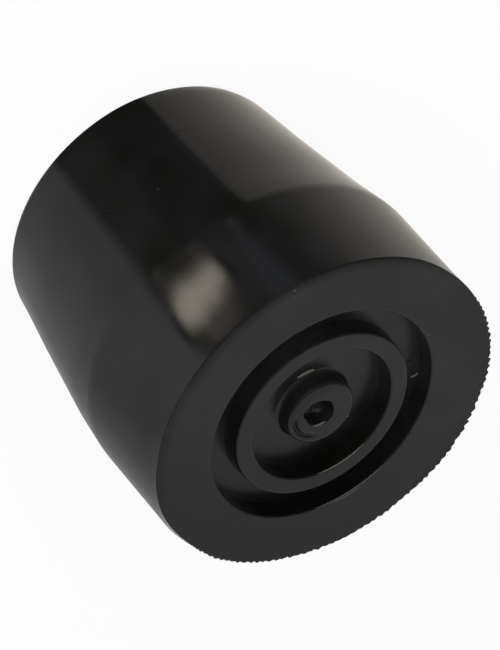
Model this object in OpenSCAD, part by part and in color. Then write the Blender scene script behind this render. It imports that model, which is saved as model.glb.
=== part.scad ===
// Cane tip, moulded in one piece of black rubber.
// It stands on its socket's rim: z = 0 is the rim, and the tread faces up at z = tip_h.

/* [Body] */
// Diameter of the foot and its tread
tread_d = 38; // [36:0.5:42]
// Height over all, from the socket's rim to the tread
tip_h = 35.3; // [33:0.1:42]
// Outer diameter at the socket's rim
rim_d = 31.5; // [29:0.1:34]
// Height of the upright foot, from the crease to the tread
foot_h = 12.9; // [10:0.1:16]
// Radius that rounds the crease between the cone and the foot
crease_round = 10; // [4:0.5:16]
// Radius of the rim's outer edge
rim_edge_r = 0.8; // [0.3:0.1:1.5]
// Radius of the tread's outer edge
tread_edge_r = 0.2; // [0.1:0.05:0.6]

/* [Socket] */
// Diameter of the blind socket that a 22 mm tube is pressed into
socket_d = 22; // [19:0.1:24]
// Depth of the socket
socket_depth = 24; // [18:0.5:27]
// Width and length of the lead-in at the socket's mouth
lead_in = 1.2; // [0.4:0.1:2]
// Fillet between the socket's wall and its floor
socket_fillet = 1; // [0.3:0.1:2]

/* [Tread] */
// Diameter of the middle boss
boss_d = 7.5; // [6:0.1:9]
// How far the boss stops below the tread
boss_drop = 0.15; // [0.05:0.05:0.6]
// Radius of the boss's top edge
boss_edge_r = 0.4; // [0.1:0.05:0.7]
// Width of the recess between the boss and the ring
recess_w = 4.25; // [3.5:0.05:5]
// Depth of the recess
recess_depth = 2.1; // [1.6:0.1:3]
// Width of the ring's top
ring_w = 1.95; // [1.5:0.05:2.5]
// Width of the groove round the ring
groove_w = 2.8; // [2.2:0.1:3.6]
// Depth of the groove
groove_depth = 2.2; // [1.6:0.1:3.2]
// Draft of the moulded walls in the tread
draft_deg = 3; // [1:0.5:5]
// Radius of the edges of the groove and the ring
edge_r = 0.25; // [0.1:0.05:0.4]
// Fillet at the foot of the groove's outer wall
groove_fillet = 0.3; // [0.1:0.1:0.6]
// Fillet at the foot of the ring's outer wall
ring_fillet = 0.1; // [0.05:0.05:0.3]
// Fillet between the recess and the ring's inner wall
recess_fillet = 0.15; // [0.05:0.05:0.4]
// Fillet round the boss's base
boss_fillet = 0.25; // [0.1:0.05:0.5]

/* [Gate mark] */
// Diameter of the moulding gate's dimple in the boss
gate_d = 2.9; // [2:0.1:4]
// Depth of the dimple
gate_depth = 1.2; // [0.6:0.1:1.6]
// Share of the dimple's diameter that its floor takes
gate_floor = 0.8; // [0.5:0.05:0.9]
// Diameter of the torn stub in the dimple
stub_d = 0.9; // [0.4:0.1:1.1]
// Height of the stub
stub_h = 0.4; // [0.2:0.05:0.55]

/* [Hidden] */
$fn = 96;

// Steps that draw each kind of round in a profile
edge_steps = 4;
fillet_steps = 6;
crease_steps = 6;

// A cut runs this far past the face that it opens through
past = 1;

tread_r = tread_d / 2;
rim_r = rim_d / 2;
crease_z = tip_h - foot_h;
cone_slope = (tread_r - rim_r) / crease_z;
cone_deg = atan(cone_slope);

socket_r = socket_d / 2;

boss_r = boss_d / 2;
boss_z = tip_h - boss_drop;
ring_in_r = boss_r + recess_w;
ring_out_r = ring_in_r + ring_w;
groove_out_r = ring_out_r + groove_w;
recess_z = tip_h - recess_depth;
groove_z = tip_h - groove_depth;
draft = tan(draft_deg);

// Points of an arc round c, from angle a0 to angle a1
function arc(c, r, a0, a1, steps) =
    [for (i = [0 : steps]) let (a = a0 + (a1 - a0) * i / steps) c + r * [cos(a), sin(a)]];

// Turns a half section of [radius, z] points round the axis
module turned(points) {
    rotate_extrude() polygon(points);
}

// Outside of the moulding: rounded rim, cone, rounded crease, upright foot and tread
module body_solid() {
    rim_mid = [rim_r + cone_slope * rim_edge_r - rim_edge_r / cos(cone_deg), rim_edge_r];
    crease_mid = [tread_r - crease_round, crease_z + crease_round * tan(cone_deg / 2)];
    tread_mid = [tread_r - tread_edge_r, tip_h - tread_edge_r];
    turned(concat(
        [[0, 0]],
        arc(rim_mid, rim_edge_r, -90, -cone_deg, edge_steps),
        arc(crease_mid, crease_round, -cone_deg, 0, crease_steps),
        arc(tread_mid, tread_edge_r, 0, 90, edge_steps),
        [[0, tip_h]]
    ));
}

// Blind socket with a tapered mouth, a true cylindrical wall and a rounded floor corner
module socket_cut() {
    floor_mid = [socket_r - socket_fillet, socket_depth - socket_fillet];
    turned(concat(
        [[0, -past], [socket_r + lead_in, -past]],
        [[socket_r + lead_in, 0], [socket_r, lead_in]],
        arc(floor_mid, socket_fillet, 0, 90, fillet_steps),
        [[0, socket_depth]]
    ));
}

// Groove round the ring, with drafted walls, rounded edges and filleted corners
module groove_cut() {
    outer_foot = groove_out_r - draft * (groove_depth - groove_fillet);
    inner_foot = ring_out_r + draft * (groove_depth - ring_fillet);
    turned(concat(
        [[groove_out_r + edge_r, tip_h + past]],
        arc([groove_out_r + edge_r, tip_h - edge_r], edge_r, 90, 180, edge_steps),
        arc([outer_foot - groove_fillet, groove_z + groove_fillet], groove_fillet, 0, -90, fillet_steps),
        arc([inner_foot + ring_fillet, groove_z + ring_fillet], ring_fillet, -90, -180, edge_steps),
        arc([ring_out_r - edge_r, tip_h - edge_r], edge_r, 0, 90, edge_steps),
        [[ring_out_r - edge_r, tip_h + past]]
    ));
}

// Recess inside the ring, which leaves the boss standing in its middle
module recess_cut() {
    outer_foot = ring_in_r - draft * (recess_depth - recess_fillet);
    inner_foot = boss_r + draft * (recess_depth - boss_drop - boss_fillet);
    turned(concat(
        [[0, tip_h + past], [ring_in_r + edge_r, tip_h + past]],
        arc([ring_in_r + edge_r, tip_h - edge_r], edge_r, 90, 180, edge_steps),
        arc([outer_foot - recess_fillet, recess_z + recess_fillet], recess_fillet, 0, -90, fillet_steps),
        arc([inner_foot + boss_fillet, recess_z + boss_fillet], boss_fillet, -90, -180, fillet_steps),
        arc([boss_r - boss_edge_r, boss_z - boss_edge_r], boss_edge_r, 0, 90, edge_steps),
        [[0, boss_z]]
    ));
}

// Dimple that the moulding gate left in the boss, round its torn stub
module gate_cut() {
    gate_r = gate_d / 2;
    stub_r = stub_d / 2;
    gate_z = boss_z - gate_depth;
    turned([
        [0, tip_h + past],
        [gate_r, tip_h + past],
        [gate_r, boss_z],
        [gate_r * gate_floor, gate_z],
        [stub_r, gate_z],
        [0, gate_z + stub_h]
    ]);
}

module cane_tip() {
    color("#2a2a2c")
    difference() {
        body_solid();
        socket_cut();
        groove_cut();
        recess_cut();
        gate_cut();
    }
}

cane_tip();
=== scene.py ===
import math

import bpy
import numpy as np
from mathutils import Matrix


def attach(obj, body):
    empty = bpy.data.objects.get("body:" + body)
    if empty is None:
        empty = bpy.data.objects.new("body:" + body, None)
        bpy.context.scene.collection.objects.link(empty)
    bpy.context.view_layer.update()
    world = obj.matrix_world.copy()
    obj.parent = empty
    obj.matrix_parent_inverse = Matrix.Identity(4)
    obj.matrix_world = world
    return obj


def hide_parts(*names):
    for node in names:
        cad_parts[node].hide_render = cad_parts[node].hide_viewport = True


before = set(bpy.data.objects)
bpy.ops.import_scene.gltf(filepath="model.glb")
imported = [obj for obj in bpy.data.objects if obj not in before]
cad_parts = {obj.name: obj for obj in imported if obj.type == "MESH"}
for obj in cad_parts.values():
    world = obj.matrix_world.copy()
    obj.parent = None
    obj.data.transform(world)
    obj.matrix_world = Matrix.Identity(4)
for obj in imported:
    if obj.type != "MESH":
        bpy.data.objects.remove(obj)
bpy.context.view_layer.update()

# Every length below is in millimetres, and MM turns it into Blender's metres.
MM = 0.001

# Body of the tip
tread_r = 19.0
tip_h = 35.3
rim_r = 15.75
foot_h = 12.9
crease_round = 10.0
rim_edge_r = 0.8

# Socket
socket_r = 11.0
socket_depth = 24.0
lead_in = 1.2
socket_fillet = 1.0

# Tread
boss_r = 3.75
boss_drop = 0.15
boss_edge_r = 0.4
recess_w = 4.25
recess_depth = 2.1
ring_w = 1.95
groove_w = 2.8
groove_depth = 2.2
draft = math.tan(math.radians(3.0))
edge_r = 0.25
boss_fillet = 0.5

# Outer edge of the tread: the corner's round, and the width and height that wear takes off its near half
tread_edge_r = 0.07
worn_w = 1.0
worn_h = 0.30

# Gate mark: a torn dimple off the axis, with a floor that slopes and a stub that leans
gate_r = 1.64
gate_depth = 1.0
gate_floor = 0.8
gate_lip = 0.18
gate_x = 0.05
gate_y = -0.35
gate_slope = 0.28
stub_r = 0.45
stub_foot_r = 1.25 * stub_r
stub_h = 0.2
stub_y = 0.5
stub_slope = 0.60

# Errors of this moulding: wear at the rim, sway of the waist, dip of the crease and lean of the boss's top
rim_wear = 0.36
waist_sway = 0.20
crease_dip = 0.65
boss_lean = 0.16

# Sizes that follow from those above
crease_z = tip_h - foot_h
cone_slope = (tread_r - rim_r) / crease_z
cone_deg = math.degrees(math.atan(cone_slope))
boss_z = tip_h - boss_drop
gate_z = boss_z - gate_depth
gate_floor_r = gate_r * gate_floor
recess_z = tip_h - recess_depth
groove_z = tip_h - groove_depth
ring_in_r = boss_r + recess_w
ring_out_r = ring_in_r + ring_w
groove_out_r = ring_out_r + groove_w

# Corners at the feet of the recess's wall, the ring's outer wall and the groove's outer wall
sharp_feet = np.array([
    [ring_in_r - draft * recess_depth, recess_z],
    [ring_out_r + draft * groove_depth, groove_z],
    [groove_out_r - draft * groove_depth, groove_z],
])

# How bright the floor looks in the gloss, and how bright the surround looks to the camera
floor_tone = 0.95
surround_tone = 0.90

# Columns of faces round the turned body, its flash, a sliver and the lamp's card
body_columns = 400
flash_columns = 1800
sliver_columns = 10
lamp_columns = 90


def smooth_step(low, high, x):
    """0 below low, 1 above high, and 3t^2 - 2t^3 between them."""
    t = np.clip((x - low) / (high - low), 0.0, 1.0)
    return t * t * (3.0 - 2.0 * t)


def arc(mid, radius, start_deg, end_deg, steps):
    """Points at even angles on a circle about mid, as rows of radius and height."""
    a = np.radians(np.linspace(start_deg, end_deg, steps + 1))
    return np.stack([mid[0] + radius * np.cos(a), mid[1] + radius * np.sin(a)], axis=1)


def point(radius, height):
    """One profile point as a row of radius and height."""
    return np.array([[radius, height]])


def straight(start, end, steps, hold=0.06):
    """Points on a line from start to end, ends left out, with one held close to each end."""
    start = np.asarray(start, float)
    end = np.asarray(end, float)
    near = hold / max(np.linalg.norm(end - start), 3.0 * hold)
    t = np.concatenate([[near], np.linspace(0.0, 1.0, steps + 2)[1:-1], [1.0 - near]])
    return start + np.sort(t)[:, None] * (end - start)


def chain(pieces, steps):
    """Joins arcs and single points in order, with a straight run of points between each two."""
    rows = [pieces[0]]
    for last, piece, count in zip(pieces[:-1], pieces[1:], steps):
        rows.append(straight(last[-1], piece[0], count))
        rows.append(piece)
    return np.concatenate(rows)


def ring_faces(rows, columns, loop):
    """Four corners of each face between neighbouring rings, and round each ring back to its start."""
    i = np.arange(rows if loop else rows - 1)[:, None]
    j = np.arange(columns)[None, :]
    here = i * columns
    there = ((i + 1) % rows) * columns
    after = (j + 1) % columns
    return np.stack([here + j, here + after, there + after, there + j], axis=-1).reshape(-1, 4)


def mesh_piece(name, points, faces, material):
    """Object at the origin from points in millimetres and lists of corners, shaded smooth."""
    mesh = bpy.data.meshes.new(name)
    mesh.from_pydata((points * MM).tolist(), [], faces)
    mesh.polygons.foreach_set("use_smooth", np.ones(len(mesh.polygons), dtype=bool))
    mesh.update()
    mesh.materials.append(material)
    piece = bpy.data.objects.new(name, mesh)
    bpy.context.scene.collection.objects.link(piece)
    return piece


def tread_profile():
    """Tread's half section from the gate's stub out to the outer edge, before the moulding's errors."""
    inner_foot = boss_r + draft * (recess_depth - boss_drop - boss_fillet)
    return chain(
        [
            point(0.75 * stub_r, gate_z + stub_h - 0.02),
            point(stub_r, gate_z + stub_h - 0.14),
            point(stub_foot_r, gate_z),
            point(gate_floor_r, gate_z),
            arc([gate_r + gate_lip, boss_z - gate_lip], gate_lip, 180, 90, 6),
            arc([boss_r - boss_edge_r, boss_z - boss_edge_r], boss_edge_r, 90, 0, 6),
            arc([inner_foot + boss_fillet, recess_z + boss_fillet], boss_fillet, 180, 270, 8),
            sharp_feet[0:1],
            arc([ring_in_r + edge_r, tip_h - edge_r], edge_r, 180, 90, 6),
            arc([ring_out_r - edge_r, tip_h - edge_r], edge_r, 90, 0, 6),
            sharp_feet[1:2],
            sharp_feet[2:3],
            arc([groove_out_r + edge_r, tip_h - edge_r], edge_r, 180, 90, 6),
            point(tread_r - worn_w, tip_h),
            arc([tread_r - tread_edge_r, tip_h - tread_edge_r], tread_edge_r, 90, 0, 5),
        ],
        [1, 1, 1, 2, 28, 2, 3, 2, 3, 3, 2, 2, 7, 4],
    )


def side_profile():
    """Half section from the tread's edge down the foot, crease, cone and rim, and into the socket."""
    cone_turn = math.radians(cone_deg)
    crease_mid = [tread_r - crease_round, crease_z + crease_round * math.tan(0.5 * cone_turn)]
    rim_mid = [rim_r + cone_slope * rim_edge_r - rim_edge_r / math.cos(cone_turn), rim_edge_r]
    floor_mid = [socket_r - socket_fillet, socket_depth - socket_fillet]
    low_cone_z = 3.0
    return chain(
        [
            point(tread_r, tip_h - tread_edge_r),
            arc(crease_mid, crease_round, 0, -cone_deg, 8),
            point(rim_r + cone_slope * low_cone_z, low_cone_z),
            arc(rim_mid, rim_edge_r, -cone_deg, -90, 6),
            point(socket_r + lead_in, 0.0),
            point(socket_r, lead_in),
            arc(floor_mid, socket_fillet, 0, 90, 6),
            point(1.0, socket_depth),
        ],
        [12, 18, 6, 3, 1, 6, 3],
    )[1:]


def edge_stray(turn):
    """How far the tread's edge strays from its circle: two harmonics of the turn, on the far half only."""
    deg = (np.degrees(turn) + 90.0) % 360.0 - 90.0
    first = 0.25 * np.cos(np.radians(deg - 170.0))
    second = 0.40 * np.sin(np.radians(2.0 * (deg - 80.0)))
    return (first + second) * smooth_step(-25.0, 5.0, deg) * smooth_step(205.0, 185.0, deg)


def edge_errors(r, turn, z):
    """Outward stray of the tread's edge, and its fall by wear on the near half, the square of the width."""
    stray = edge_stray(turn) * smooth_step(15.5, 18.8, r) * smooth_step(33.4, tip_h, z)
    near_half = smooth_step(0.35, -0.35, np.sin(turn))
    fall = worn_h * np.clip((r - tread_r + worn_w) / worn_w, 0.0, 1.0) ** 2 * smooth_step(34.2, 34.9, z)
    return stray, -fall * near_half


def side_errors(r, turn, z):
    """Side's errors outward, in x and in z: waves and rim wear, the waist's sway and the crease's dip."""
    skin = smooth_step(socket_r + lead_in, rim_r - 1.0, r)
    wave = 0.012 * np.sin(3.0 * turn + 0.11 * z) + 0.008 * np.sin(5.0 * turn - 0.23 * z + 1.0)
    below = smooth_step(tip_h - 0.1, tip_h - 2.0, z)
    worn = rim_wear * np.clip(1.0 - z / 2.0, 0.0, 1.0) ** 2 * smooth_step(-0.25, -0.9, np.cos(turn))
    sway = waist_sway * smooth_step(1.0, 10.0, z) * smooth_step(23.0, 17.0, z)
    dip = crease_dip * np.cos(turn) * smooth_step(8.0, 20.0, z) * smooth_step(33.0, 26.0, z)
    return skin * (below * wave - worn), skin * sway, -skin * dip


def gate_errors(r, turn, z):
    """Gate's errors outward, in x, y and z: ragged by angle, off its place, with a tilted floor and stub."""
    on_top = smooth_step(groove_z, recess_z, z)
    ragged = -0.08 * np.cos(2.0 * turn) + 0.04 * np.sin(3.0 * turn + 2.0) + 0.02 * np.sin(7.0 * turn)
    torn_out = 0.20 * np.exp(-((np.cos(turn + 1.05) - 1.0) / 0.16) ** 2)
    left_in = 0.22 * np.exp(-((np.cos(turn + 2.30) - 1.0) / 0.13) ** 2)
    outline = r * (ragged + torn_out - left_in) * smooth_step(2.2, 1.6, r) * on_top
    off = smooth_step(3.0, 2.0, r) * on_top
    stub_off = np.clip((gate_floor_r - r) / (gate_floor_r - stub_foot_r), 0.0, 1.0) * on_top
    in_gate = smooth_step(boss_z - 0.45, gate_z + 0.1, z) * smooth_step(1.6, 1.3, r) * on_top
    on_stub = smooth_step(0.68, 0.42, r) * on_top
    tilt = r * (stub_slope * np.sin(turn) * on_stub - gate_slope * np.sin(turn - 0.2) * in_gate)
    return outline, gate_x * off, gate_y * off + stub_y * stub_off, tilt


def boss_fall(r, turn, z):
    """How far the boss's top falls: in a soft arc sunk beside the gate, and by a lean to one side."""
    deg = (np.degrees(turn) + 180.0) % 360.0 - 180.0
    on_boss = smooth_step(boss_z - 0.5, boss_z - 0.1, z) * smooth_step(4.4, 4.0, r)
    span = smooth_step(-55.0, -25.0, deg) * smooth_step(55.0, 30.0, deg)
    arc_r = 3.0 - 0.28 * smooth_step(0.0, 45.0, deg)
    depth = 0.20 + 0.18 * smooth_step(25.0, -10.0, deg)
    sunk = depth * np.exp(-((r - arc_r) / 0.24) ** 2) * span
    lean = boss_lean * smooth_step(2.3, 3.9, r) * smooth_step(0.4, -0.4, np.cos(turn - 2.1))
    return (sunk + lean) * on_boss


def as_moulded(r, turn, z):
    """Turned point x = r cos a, y = r sin a, z, moved by the errors of the side, edge, gate and boss."""
    side_out, side_x, side_z = side_errors(r, turn, z)
    edge_out, edge_z = edge_errors(r, turn, z)
    gate_out, gate_dx, gate_dy, gate_dz = gate_errors(r, turn, z)
    wide = r + gate_out + side_out + edge_out
    x = wide * np.cos(turn) + side_x + gate_dx
    y = wide * np.sin(turn) + gate_dy
    return np.stack([x, y, z + side_z + edge_z + gate_dz - boss_fall(r, turn, z)], axis=-1)


def turned_tip(tread_rubber, side_rubber):
    """Half section turned about the axis and moved as moulded, with a pole at each end."""
    tread = tread_profile()
    section = np.concatenate([tread, side_profile()])
    turn = np.linspace(0.0, 2.0 * np.pi, body_columns, endpoint=False)
    rings = as_moulded(section[:, :1], turn, section[:, 1:])
    poles = np.array([[gate_x, gate_y + stub_y, gate_z + stub_h], [0.0, 0.0, socket_depth]])
    points = np.concatenate([rings.reshape(-1, 3), poles])
    sides = ring_faces(len(section), body_columns, False)[:, ::-1]
    j = np.arange(body_columns)
    after = (j + 1) % body_columns
    last = (len(section) - 1) * body_columns
    top = np.stack([j, after, np.full_like(j, len(points) - 2)], axis=1)
    bottom = np.stack([last + after, last + j, np.full_like(j, len(points) - 1)], axis=1)
    faces = sides.tolist() + top.tolist() + bottom.tolist()
    piece = mesh_piece("moulded_tip", points, faces, tread_rubber)
    piece.data.materials.append(side_rubber)
    is_side = np.ones(len(piece.data.polygons), dtype=np.int32)
    is_side[: (len(tread) - 1) * body_columns] = 0
    is_side[len(sides): len(sides) + body_columns] = 0
    piece.data.polygons.foreach_set("material_index", is_side)
    feet = np.argmin(np.linalg.norm(section[:, None, :] - sharp_feet[None, :, :], axis=2), axis=0)
    ends = np.zeros(2 * len(piece.data.edges), dtype=np.int32)
    piece.data.edges.foreach_get("vertices", ends)
    ring = ends.reshape(-1, 2) // body_columns
    is_foot = (ring[:, 0] == ring[:, 1]) & np.isin(ring[:, 0], feet)
    piece.data.edges.foreach_set("use_edge_sharp", is_foot)
    return piece


def flash_fin(flash_rubber):
    """Ragged fin round the tread's edge: a thin six-cornered section whose reach is a run of uneven teeth.

    Teeth and gaps follow each other at uneven angles and heights, and a slow swell scales them. The fin is
    strong on the far half, sinks into the tread elsewhere, and is torn and brown on its middle stretch.
    """
    dice = np.random.default_rng(7)
    turn = np.linspace(0.0, 2.0 * np.pi, flash_columns, endpoint=False)
    round_deg = np.degrees(turn)
    deg = (round_deg + 90.0) % 360.0 - 90.0
    count = 280
    swell_knots = np.linspace(0.0, 360.0, 25)
    knots = (np.arange(count) + dice.uniform(-0.35, 0.35, count)) * 360.0 / count
    is_tooth = np.arange(count) % 2
    heights = 0.5 * is_tooth + dice.uniform(0.0, 1.0, count) * (0.35 + 0.15 * is_tooth)
    teeth = np.interp(round_deg, knots, heights, period=360.0)
    swell = np.interp(round_deg, swell_knots, dice.uniform(0.7, 1.0, len(swell_knots)), period=360.0)
    chew = np.interp(round_deg, knots, dice.uniform(0.0, 1.0, count), period=360.0)
    strong = smooth_step(-5.0, 20.0, deg) * smooth_step(190.0, 160.0, deg)
    strongest = smooth_step(85.0, 115.0, deg) * smooth_step(165.0, 140.0, deg)
    brown = smooth_step(15.0, 55.0, deg) * smooth_step(165.0, 125.0, deg)
    reach = -0.22 * (1.0 - strong) + strong * swell * 0.36 * teeth
    reach = reach + 0.12 * strongest * swell * (0.3 + teeth)
    edge = tread_r + edge_stray(turn)
    inner = edge - 0.45 + strong * (0.32 - (0.25 + 0.5 * chew) * brown)
    outer = edge + reach
    top = tip_h - 0.004 + 0.014 * strong - 0.25 * smooth_step(0.5, 0.0, strong)
    sag = 0.006 + 0.04 * strong + 0.03 * np.sin(9.0 * turn) * strong
    corners = [
        (inner, np.minimum(top, tip_h) - 0.006),
        (inner + 0.04, top),
        (outer, top - sag),
        (outer - 0.01, top - sag - 0.05),
        (inner + 0.03, top - 0.17),
        (inner, top - 0.15),
    ]
    r = np.stack([corner[0] for corner in corners])
    z = np.stack([corner[1] for corner in corners])
    points = np.stack([r * np.cos(turn), r * np.sin(turn), z], axis=-1).reshape(-1, 3)
    faces = ring_faces(len(corners), flash_columns, True)[:, ::-1]
    piece = mesh_piece("mould_flash", points, faces.tolist(), flash_rubber)
    piece.data.polygons.foreach_set("use_smooth", np.zeros(len(piece.data.polygons), dtype=bool))
    torn = smooth_step(-0.80, -0.10, r - edge) * brown
    piece.data.attributes.new("torn", "FLOAT", "POINT").data.foreach_set("value", torn.ravel())
    return piece


def sliver(path, up, width, height):
    """Ellipse carried along a path, its size the root of 1 - u^2, so that both ends close in a pole.

    Gives the points, the four-cornered faces along the path and the three-cornered ones at its ends.
    """
    u = np.linspace(-1.0, 1.0, len(path))[1:-1]
    t = np.linspace(0.0, 2.0 * np.pi, sliver_columns, endpoint=False)
    along = np.gradient(path, axis=0)[1:-1]
    across = np.cross(up, along)
    across = across / np.linalg.norm(across, axis=1)[:, None]
    size = np.sqrt(1.0 - u * u)[:, None, None]
    ring = width * np.cos(t)[None, :, None] * across[:, None, :] + height * np.sin(t)[None, :, None] * up
    body = path[1:-1, None, :] + size * ring
    points = np.concatenate([body.reshape(-1, 3), path[:1], path[-1:]])
    count = len(u) * sliver_columns
    final = count - sliver_columns
    j = np.arange(sliver_columns)
    after = (j + 1) % sliver_columns
    start_fan = np.stack([after, j, np.full_like(j, count)], axis=1)
    end_fan = np.stack([final + j, final + after, np.full_like(j, count + 1)], axis=1)
    return points, ring_faces(len(u), sliver_columns, False), np.concatenate([start_fan, end_fan])


def sliver_piece(name, slivers, material):
    """One mesh from several slivers, each one's corners counted on from those before it."""
    faces = []
    start = 0
    for points, quads, fans in slivers:
        faces += (quads + start).tolist() + (fans + start).tolist()
        start += len(points)
    return mesh_piece(name, np.concatenate([part[0] for part in slivers]), faces, material)


def tread_line(x0, y0, x1, y1, z, steps=9):
    """Straight path over the tread from one place to another at height z."""
    u = np.linspace(0.0, 1.0, steps)[:, None]
    return np.array([x0, y0, z]) * (1.0 - u) + np.array([x1, y1, z]) * u


def tread_arc(r0, deg0, r1, deg1, z, steps=41):
    """Path over the tread whose radius and angle both run evenly from start to end."""
    u = np.linspace(0.0, 1.0, steps)
    a = np.radians(deg0 + (deg1 - deg0) * u)
    r = r0 + (r1 - r0) * u
    return np.stack([r * np.cos(a), r * np.sin(a), z + 0.0 * u], axis=1)


def cone_line(deg0, z0, deg1, z1, steps=15):
    """Path on the cone's side, angle from the near line and height both even, as moulded."""
    u = np.linspace(0.0, 1.0, steps)
    turn = np.radians(deg0 + (deg1 - deg0) * u - 90.0)
    z = z0 + (z1 - z0) * u
    return as_moulded(rim_r + cone_slope * z, turn, z)


def outward(deg):
    """Direction straight out from the axis at an angle from the near line."""
    return np.array([math.sin(math.radians(deg)), -math.cos(math.radians(deg)), 0.0])


def small_marks(tread_rubber, side_rubber, burr_and_highlight_rubber, pale_dust, brown_dust):
    """Burrs, whisker, crumbs, nicks, scratch and dust, each a sliver where the real one shows it. The pale
    burrs and whisker are partly painted highlight, and a pale streak on the boss's foot and a pale glint on
    the gate's lip are painted highlights.
    """
    up = np.array([0.0, 0.0, 1.0])
    # Path of a painted glint on the gate's far lip.
    gate_lip_path = tread_arc(1.78, 22.0, 1.68, 84.0, boss_z - 0.05) + np.array([gate_x, gate_y, 0.0])
    burrs_and_highlights = [
        # Burrs on the far edges of the ring and groove, pale partly as wear and partly as painted highlight.
        sliver(tread_arc(8.06, 57.0, 8.14, 99.0, tip_h - 0.04), up, 0.11, 0.05),
        sliver(tread_arc(12.84, 58.0, 12.90, 96.0, tip_h - 0.03), up, 0.07, 0.05),
        sliver(tread_arc(13.10, 66.0, 13.25, 82.0, tip_h - 0.01), up, 0.06, 0.03),
        # Painted highlight: a pale streak on the fillet at the boss's foot.
        sliver(tread_arc(4.46, 265.0, 4.32, 238.0, recess_z + 0.03), up, 0.21, 0.07),
        # Whisker in the groove, pale as a painted highlight.
        sliver(tread_line(-9.00, 7.64, -10.24, 8.08, groove_z + 0.06), up, 0.11, 0.08),
        # Painted glint: a pale sliver on the gate's far lip.
        sliver(gate_lip_path, up, 0.15, 0.06),
    ]
    crumbs = [
        sliver(tread_line(-9.80, 5.36, -10.05, 5.70, groove_z + 0.02), up, 0.13, 0.12),
        sliver(tread_line(-10.80, 6.10, -10.58, 6.31, groove_z + 0.02), up, 0.13, 0.12),
        sliver(tread_line(-4.93, 6.27, -4.65, 6.43, tip_h - 0.52), up, 0.12, 0.10),
    ]
    nicks = [
        sliver(cone_line(-53.6, 10.4, -55.4, 11.6), outward(-54.5), 0.11, 0.016),
        sliver(cone_line(-54.8, 11.5, -56.4, 12.0), outward(-55.6), 0.09, 0.014),
        sliver(cone_line(-54.6, 13.4, -56.4, 14.5), outward(-55.5), 0.11, 0.014),
        sliver(cone_line(-24.5, 7.46, -35.0, 8.55), outward(-29.8), 0.09, 0.035),
    ]
    flecks = [
        sliver(tread_line(-13.17, 1.56, -13.01, 1.72, tip_h - 0.01), up, 0.09, 0.05),
        sliver(tread_line(-1.86, 3.03, -1.66, 3.11, boss_z - 0.02), up, 0.07, 0.05),
        sliver(cone_line(-8.4, 14.0, -8.0, 14.12), outward(-8.2), 0.05, 0.04),
        sliver(cone_line(-34.3, 19.2, -33.9, 19.5), outward(-34.1), 0.05, 0.04),
    ]
    brown = [sliver(tread_line(-5.90, -17.72, -5.70, -17.62, tip_h - 0.06), up, 0.18, 0.06)]
    return [
        sliver_piece("edge_burrs_and_highlights", burrs_and_highlights, burr_and_highlight_rubber),
        sliver_piece("rubber_crumbs", crumbs, tread_rubber),
        sliver_piece("side_nicks", nicks, side_rubber),
        sliver_piece("dust_flecks", flecks, pale_dust),
        sliver_piece("brown_fleck", brown, brown_dust),
    ]


def fresh_tree(owner):
    """Turns on the nodes of a material or world, empties them and gives back the tree."""
    owner.use_nodes = True
    owner.node_tree.nodes.clear()
    return owner.node_tree


def surface(tree):
    """Principled shader, joined to the material's output."""
    out = tree.nodes.new("ShaderNodeOutputMaterial")
    shader = tree.nodes.new("ShaderNodeBsdfPrincipled")
    tree.links.new(shader.outputs["BSDF"], out.inputs["Surface"])
    return shader


def noise(tree, place, scale, detail=2.0):
    """Level of a noise over a place."""
    node = tree.nodes.new("ShaderNodeTexNoise")
    node.inputs["Scale"].default_value = scale
    node.inputs["Detail"].default_value = detail
    tree.links.new(place, node.inputs["Vector"])
    return node.outputs["Fac"]


def ranged(tree, value, low, high, to_low=0.0, to_high=1.0, kind="LINEAR"):
    """Value carried from the range low to high onto the range to_low to to_high, and held at its ends."""
    node = tree.nodes.new("ShaderNodeMapRange")
    node.interpolation_type = kind
    node.inputs["From Min"].default_value = low
    node.inputs["From Max"].default_value = high
    node.inputs["To Min"].default_value = to_low
    node.inputs["To Max"].default_value = to_high
    tree.links.new(value, node.inputs["Value"])
    return node.outputs["Result"]


def combined(tree, operation, first, second):
    """Two values put together by a named operation."""
    node = tree.nodes.new("ShaderNodeMath")
    node.operation = operation
    tree.links.new(first, node.inputs[0])
    tree.links.new(second, node.inputs[1])
    return node.outputs["Value"]


def times(tree, value, factor):
    """Value times a plain number."""
    node = tree.nodes.new("ShaderNodeMath")
    node.operation = "MULTIPLY"
    node.inputs[1].default_value = factor
    tree.links.new(value, node.inputs[0])
    return node.outputs["Value"]


def along(tree, place, way):
    """How far a place lies along a fixed direction."""
    node = tree.nodes.new("ShaderNodeVectorMath")
    node.operation = "DOT_PRODUCT"
    node.inputs[1].default_value = way
    tree.links.new(place, node.inputs[0])
    return node.outputs["Value"]


def tinted(tree, value, first, last, *more):
    """Colour by a value, from stops that each have a position and a colour."""
    node = tree.nodes.new("ShaderNodeValToRGB")
    stops = node.color_ramp.elements
    stops[0].position = first[0]
    stops[0].color = (*first[1], 1.0)
    stops[1].position = last[0]
    stops[1].color = (*last[1], 1.0)
    for position, colour in more:
        stops.new(position).color = (*colour, 1.0)
    tree.links.new(value, node.inputs["Fac"])
    return node.outputs["Color"]


def covered(tree, share, under, colour):
    """Colour laid over another by a share."""
    node = tree.nodes.new("ShaderNodeMix")
    node.data_type = "RGBA"
    node.inputs[7].default_value = (*colour, 1.0)
    tree.links.new(share, node.inputs[0])
    tree.links.new(under, node.inputs[6])
    return node.outputs[2]


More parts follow.
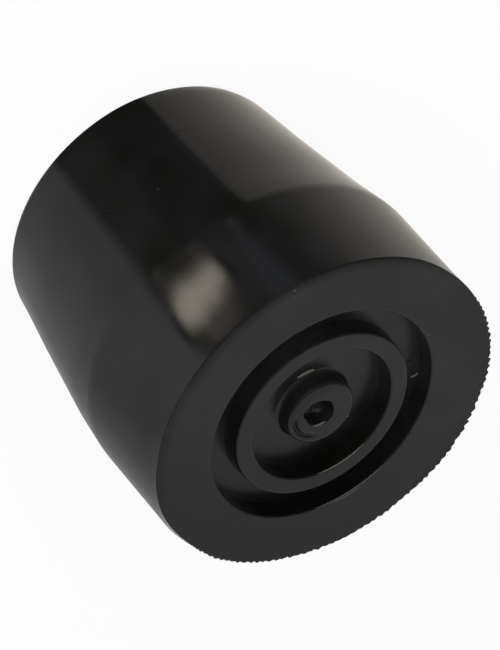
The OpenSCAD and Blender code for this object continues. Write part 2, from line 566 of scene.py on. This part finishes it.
def rubber(name, colour, roughness, spread, grain, painted_shade):
    """Black rubber: cloudy colour and gloss from a noise, sparse dust in cells and a fine grain as bump.

    Painted shade: the colour also darkens to near black across the piece, towards +X and +Y, by the share
    that the last argument gives.
    """
    material = bpy.data.materials.new(name)
    tree = fresh_tree(material)
    shader = surface(tree)
    shader.inputs["IOR"].default_value = 1.5
    place = tree.nodes.new("ShaderNodeTexCoord").outputs["Object"]
    cloud = noise(tree, place, 180.0, 4.0)
    dark = (0.60 * colour[0], 0.60 * colour[1], 0.45 * colour[2])
    light = (1.40 * colour[0], 1.40 * colour[1], 1.55 * colour[2])
    cloudy = tinted(tree, cloud, (0.3, dark), (0.7, light))
    # Painted shade: a share that grows across the piece towards +X and +Y and darkens the colour there.
    across = ranged(tree, along(tree, place, (0.77, 0.64, 0.0)), -0.002, 0.017, 0.0, painted_shade)
    painted_shade_colour = covered(tree, across, cloudy, (0.0004, 0.0004, 0.0004))
    cells = tree.nodes.new("ShaderNodeTexVoronoi")
    cells.inputs["Scale"].default_value = 700.0
    tree.links.new(place, cells.inputs["Vector"])
    speck = ranged(tree, cells.outputs["Distance"], 0.03, 0.07, 1.0, 0.0)
    few = ranged(tree, cells.outputs["Color"], 0.80, 0.95)
    dusty = covered(tree, combined(tree, "MULTIPLY", speck, few), painted_shade_colour, (0.07, 0.065, 0.055))
    tree.links.new(dusty, shader.inputs["Base Color"])
    gloss = ranged(tree, cloud, 0.3, 0.7, roughness - spread, roughness + spread)
    tree.links.new(gloss, shader.inputs["Roughness"])
    relief = tree.nodes.new("ShaderNodeBump")
    relief.inputs["Strength"].default_value = grain
    relief.inputs["Distance"].default_value = 0.00002
    tree.links.new(noise(tree, place, 1600.0, 3.0), relief.inputs["Height"])
    tree.links.new(relief.outputs["Normal"], shader.inputs["Normal"])
    return material


def torn_rubber(name, colour, torn_colour, chip_colour):
    """Flash: satin rubber, turned brown, rough and chipped by the mesh's torn attribute times a noise."""
    material = bpy.data.materials.new(name)
    tree = fresh_tree(material)
    shader = surface(tree)
    shader.inputs["IOR"].default_value = 1.5
    torn = tree.nodes.new("ShaderNodeAttribute")
    torn.attribute_name = "torn"
    place = tree.nodes.new("ShaderNodeTexCoord").outputs["Object"]
    level = combined(tree, "MULTIPLY", torn.outputs["Fac"], noise(tree, place, 2200.0, 3.0))
    chips = [(0.58, torn_colour), (0.66, chip_colour)]
    tint = tinted(tree, level, (0.10, colour), (0.35, torn_colour), *chips)
    tree.links.new(tint, shader.inputs["Base Color"])
    tree.links.new(ranged(tree, level, 0.0, 0.4, 0.27, 0.9), shader.inputs["Roughness"])
    return material


def dust_and_highlight(name, colour):
    """Rough pale material for dust and for painted highlights, with its colour lighter and darker by a
    noise.
    """
    material = bpy.data.materials.new(name)
    tree = fresh_tree(material)
    shader = surface(tree)
    shader.inputs["Roughness"].default_value = 0.7
    place = tree.nodes.new("ShaderNodeTexCoord").outputs["Object"]
    darker = [0.6 * c for c in colour]
    lighter = [1.3 * c for c in colour]
    tint = tinted(tree, noise(tree, place, 6000.0), (0.35, darker), (0.65, lighter))
    tree.links.new(tint, shader.inputs["Base Color"])
    return material


def floor_material():
    """Pale floor: mostly plain white for the views and the gloss, the rest lit and shaded."""
    material = bpy.data.materials.new("studio_floor")
    tree = fresh_tree(material)
    out = tree.nodes.new("ShaderNodeOutputMaterial")
    lit = tree.nodes.new("ShaderNodeBsdfDiffuse")
    lit.inputs["Color"].default_value = (0.85, 0.85, 0.85, 1.0)
    white = tree.nodes.new("ShaderNodeEmission")
    white.inputs["Color"].default_value = (1.0, 1.0, 1.0, 1.0)
    white.inputs["Strength"].default_value = 1.0
    ray = tree.nodes.new("ShaderNodeLightPath")
    seen = combined(tree, "MAXIMUM", ray.outputs["Is Camera Ray"], ray.outputs["Is Glossy Ray"])
    seen = combined(tree, "MAXIMUM", seen, ray.outputs["Is Transmission Ray"])
    mix = tree.nodes.new("ShaderNodeMixShader")
    tree.links.new(times(tree, seen, 0.90), mix.inputs["Fac"])
    tree.links.new(lit.outputs["BSDF"], mix.inputs[1])
    tree.links.new(white.outputs["Emission"], mix.inputs[2])
    tree.links.new(mix.outputs["Shader"], out.inputs["Surface"])
    return material


def glow_material(name):
    """Card that glows in the colours of the mesh's own glow attribute."""
    material = bpy.data.materials.new(name)
    tree = fresh_tree(material)
    out = tree.nodes.new("ShaderNodeOutputMaterial")
    glow = tree.nodes.new("ShaderNodeEmission")
    tone = tree.nodes.new("ShaderNodeAttribute")
    tone.attribute_name = "glow"
    tree.links.new(tone.outputs["Color"], glow.inputs["Color"])
    tree.links.new(glow.outputs["Emission"], out.inputs["Surface"])
    return material


def set_glow(card, red, green, blue):
    """Puts three arrays of light levels on a card's points as its glow attribute."""
    tone = np.stack([red.ravel(), green.ravel(), blue.ravel(), np.ones(red.size)], axis=1)
    card.data.attributes.new("glow", "FLOAT_COLOR", "POINT").data.foreach_set("color", tone.ravel())


def only_in_gloss(card):
    """A card that the rubber's gloss mirrors, and that neither lights nor shades nor shows."""
    card.visible_camera = False
    card.visible_diffuse = False
    card.visible_transmission = False
    card.visible_volume_scatter = False
    card.visible_shadow = False


def hill(x, y, x0, y0, turn_deg, long, short):
    """Smooth hill about x0, y0: e to the minus square of the distance, longer along one direction."""
    a = math.radians(turn_deg)
    u = (x - x0) * math.cos(a) + (y - y0) * math.sin(a)
    v = (y - y0) * math.cos(a) - (x - x0) * math.sin(a)
    return np.exp(-((u / long) ** 2) - (v / short) ** 2)


def fan_card():
    """Sheet of lines that leave the rim's circle at angle a and run out at angle 2a, with a glow by both.

    A mirrored ray runs the same way, so each angle of the side sees its own line. The glow is a dark band
    in the middle, pale to the left and right, with a few soft hills, and the floor's tone at the border.
    """
    leave_r = 15.4
    near_t = 60.0
    far_t = 540.0
    a = np.radians(np.linspace(-90.0, 90.0, 361))[:, None]
    t = np.concatenate([np.linspace(0.0, near_t, 61), np.linspace(75.0, far_t, 32)])[None, :]
    deg = np.degrees(a) + 0.0 * t
    wide = np.abs(deg)
    stretch = 0.02 + 0.98 * smooth_step(50.0, 38.0, wide)
    run = np.minimum(t, near_t) + np.maximum(t - near_t, 0.0) * stretch
    x = leave_r * np.sin(a) + run * np.sin(2.0 * a)
    y = -leave_r * np.cos(a) - run * np.cos(2.0 * a)
    points = np.stack([x, y, 0.3 + 0.0 * x], axis=-1).reshape(-1, 3)
    far = smooth_step(18.5, 27.0, t)
    band = 0.028 + 0.03 * smooth_step(-1.5, 1.5, deg + 5.0 - 0.20 * t)
    left = 0.34 * smooth_step(11.0, 16.5, deg) + 0.05 * smooth_step(16.0, 32.0, deg)
    left = left * (1.0 + far * (0.5 * smooth_step(38.0, 18.0, deg) - 0.28 * smooth_step(32.0, 48.0, deg)))
    left = left * (1.0 - 0.2 * (1.0 - far) * smooth_step(48.0, 64.0, deg))
    near_right = smooth_step(-25.5, -27.8, deg) * (0.25 + 0.47 * smooth_step(-20.0, -70.0, deg))
    far_right = 0.60 * smooth_step(-20.0, -60.0, deg)
    right = near_right * (1.0 - far) + far_right * far
    blue = 0.20 * hill(x, y, -27.5, -50.5, 56.0, 5.0, 6.5)
    blue = blue + 0.20 * hill(x, y, -22.5, -42.5, 56.0, 2.5, 2.5)
    pale = 0.20 * hill(x, y, 12.2, -43.5, -61.0, 4.0, 2.2)
    pale = pale + 0.14 * hill(x, y, -11.0, -54.0, 0.0, 4.0, 4.0)
    pale = pale + 0.09 * hill(x, y, -19.0, -50.0, 56.0, 8.0, 8.0)
    border = np.maximum(smooth_step(150.0, far_t, t), smooth_step(80.0, 90.0, wide))
    border = np.maximum(border, smooth_step(44.0, near_t, t) * smooth_step(34.0, 48.0, wide))
    shades = [
        1.10 * band + 0.97 * left + 1.06 * right + 0.85 * blue + pale,
        1.10 * band + left + right + 0.97 * blue + pale,
        0.70 * band + 1.04 * left + 0.91 * right + 1.30 * blue + pale,
    ]
    columns = t.shape[1]
    i = np.arange(len(a) - 1)[:, None]
    j = np.arange(columns - 1)[None, :]
    k = i * columns + j
    faces = np.stack([k, k + 1, k + columns + 1, k + columns], axis=-1).reshape(-1, 4)
    card = mesh_piece("graded_card", points, faces.tolist(), glow_material("graded_card_glow"))
    set_glow(card, *[shade + (floor_tone - shade) * border for shade in shades])
    only_in_gloss(card)


def lamp_card():
    """Six-cornered card: its radius runs to the nearest side's line, and the glow falls off there."""
    corners = np.array([
        [19.0, -48.6],
        [-9.5, -50.8],
        [-8.5, -53.6],
        [1.5, -56.3],
        [14.0, -55.4],
        [23.0, -51.2],
    ])
    middle = np.array([6.0, -52.9])
    run = np.roll(corners, -1, axis=0) - corners
    normal = np.stack([-run[:, 1], run[:, 0]], axis=1)
    normal = normal / np.linalg.norm(normal, axis=1)[:, None]
    gap = np.sum(normal * (corners - middle), axis=1)
    normal = normal * np.sign(gap)[:, None]
    a = np.linspace(0.0, 2.0 * np.pi, lamp_columns, endpoint=False)
    way = np.stack([np.cos(a), np.sin(a)], axis=1)
    facing = np.maximum(way @ normal.T, 1e-6)
    radius = np.min(np.abs(gap) / facing, axis=1)[None, :]
    s = np.linspace(0.03, 1.3, 24)[:, None]
    x = middle[0] + s * radius * np.cos(a)
    y = middle[1] + s * radius * np.sin(a)
    points = np.stack([x, y, 0.6 + 0.0 * x], axis=-1).reshape(-1, 3)
    hollow = y + 51.2 - 0.02 * (x - 1.0) ** 2
    level = 4.6 * smooth_step(1.13, 0.77, s) * smooth_step(0.8, -0.8, hollow)
    faces = ring_faces(len(s), lamp_columns, False)
    card = mesh_piece("lamp_card", points, faces.tolist(), glow_material("lamp_card_glow"))
    set_glow(card, 1.12 * level, 0.99 * level, 0.84 * level)
    only_in_gloss(card)


def studio_floor():
    """Square sheet in the plane that the rim stands on."""
    half = 3000.0
    points = np.array([[-half, -half, 0.0], [half, -half, 0.0], [half, half, 0.0], [-half, half, 0.0]])
    mesh_piece("studio_floor", points, [[0, 1, 2, 3]], floor_material())


def studio_surround():
    """Surround: grey behind and above, pale low down behind, dark in front, and pale to the camera."""
    world = bpy.data.worlds.new("studio")
    bpy.context.scene.world = world
    tree = fresh_tree(world)
    out = tree.nodes.new("ShaderNodeOutputWorld")
    sky = tree.nodes.new("ShaderNodeBackground")
    sky.inputs["Color"].default_value = (1.0, 1.0, 1.0, 1.0)
    place = tree.nodes.new("ShaderNodeTexCoord").outputs["Generated"]
    low = ranged(tree, along(tree, place, (0.0, 0.0, 1.0)), 0.05, 0.30, 0.4, 0.0, "SMOOTHSTEP")
    behind = ranged(tree, along(tree, place, (0.0, 1.0, 0.0)), -0.3, 0.2, kind="SMOOTHSTEP")
    low_behind = combined(tree, "MULTIPLY", low, behind)
    grey = ranged(tree, along(tree, place, (0.5, 1.0, 0.6)), 0.25, 0.85, 0.032, 0.44, "SMOOTHSTEP")
    lit = combined(tree, "MAXIMUM", low_behind, grey)
    ray = tree.nodes.new("ShaderNodeLightPath")
    seen = combined(tree, "MAXIMUM", ray.outputs["Is Camera Ray"], ray.outputs["Is Transmission Ray"])
    strength = combined(tree, "MAXIMUM", lit, times(tree, seen, surround_tone))
    tree.links.new(strength, sky.inputs["Strength"])
    tree.links.new(sky.outputs["Background"], out.inputs["Surface"])


def fill_lamp():
    """One wide soft lamp above the front, which the gloss doesn't mirror."""
    fill = bpy.data.lights.new("fill_above", "AREA")
    fill.shape = "SQUARE"
    fill.size = 0.5
    fill.energy = 6.5
    box = bpy.data.objects.new("fill_above", fill)
    box.location = (0.0, -0.45, 0.55)
    box.rotation_euler = (math.radians(39.3), 0.0, 0.0)
    box.visible_glossy = False
    bpy.context.scene.collection.objects.link(box)


def photo_camera():
    """Long lens that looks down on the tread, turned so that the tread faces the lower right."""
    camera = bpy.data.cameras.new("photo_camera")
    camera.sensor_width = 36.0
    camera.lens = 332.3
    camera.clip_end = 20.0
    down = math.radians(38.70)
    roll = math.radians(138.935)
    aim = np.array([-0.372, 0.0, 20.657])
    distance = 603.67
    look = np.array([0.0, math.cos(down), -math.sin(down)])
    level = np.array([1.0, 0.0, 0.0])
    rise = np.array([0.0, math.sin(down), math.cos(down)])
    right = math.cos(roll) * level + math.sin(roll) * rise
    up = -math.sin(roll) * level + math.cos(roll) * rise
    spot = (aim - distance * look) * MM
    seat = bpy.data.objects.new("photo_camera", camera)
    seat.matrix_world = Matrix([
        [right[0], up[0], -look[0], spot[0]],
        [right[1], up[1], -look[1], spot[1]],
        [right[2], up[2], -look[2], spot[2]],
        [0.0, 0.0, 0.0, 1.0],
    ])
    bpy.context.scene.collection.objects.link(seat)
    bpy.context.scene.camera = seat


# The tread's rubber carries painted shade, darkening to near black towards +X and +Y.
tread_rubber = rubber(
    "tread_rubber", colour=(0.0068, 0.0068, 0.0069), roughness=0.27, spread=0.02, grain=0.10, painted_shade=0.95
)
side_rubber = rubber(
    "side_rubber", colour=(0.006, 0.006, 0.0064), roughness=0.12, spread=0.02, grain=0.05, painted_shade=0.0
)
flash_rubber = torn_rubber(
    "flash_rubber",
    colour=(0.0065, 0.0065, 0.0066),
    torn_colour=(0.022, 0.016, 0.0115),
    chip_colour=(0.09, 0.08, 0.065),
)
# Pale rubber for the burrs and for painted highlights: the boss-foot streak, the gate glint and the whisker.
burr_and_highlight_rubber = dust_and_highlight("burr_and_highlight_rubber", (0.08, 0.075, 0.06))
pale_dust = dust_and_highlight("pale_dust", (0.10, 0.095, 0.08))
brown_dust = dust_and_highlight("brown_dust", (0.10, 0.055, 0.022))

tip = turned_tip(tread_rubber, side_rubber)
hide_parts("cane_tip")
pieces = [tip, flash_fin(flash_rubber)]
pieces += small_marks(tread_rubber, side_rubber, burr_and_highlight_rubber, pale_dust, brown_dust)
for piece in pieces:
    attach(piece, "root")

studio_floor()
fan_card()
lamp_card()
studio_surround()
fill_lamp()
photo_camera()
bpy.context.scene.view_settings.view_transform = "Standard"
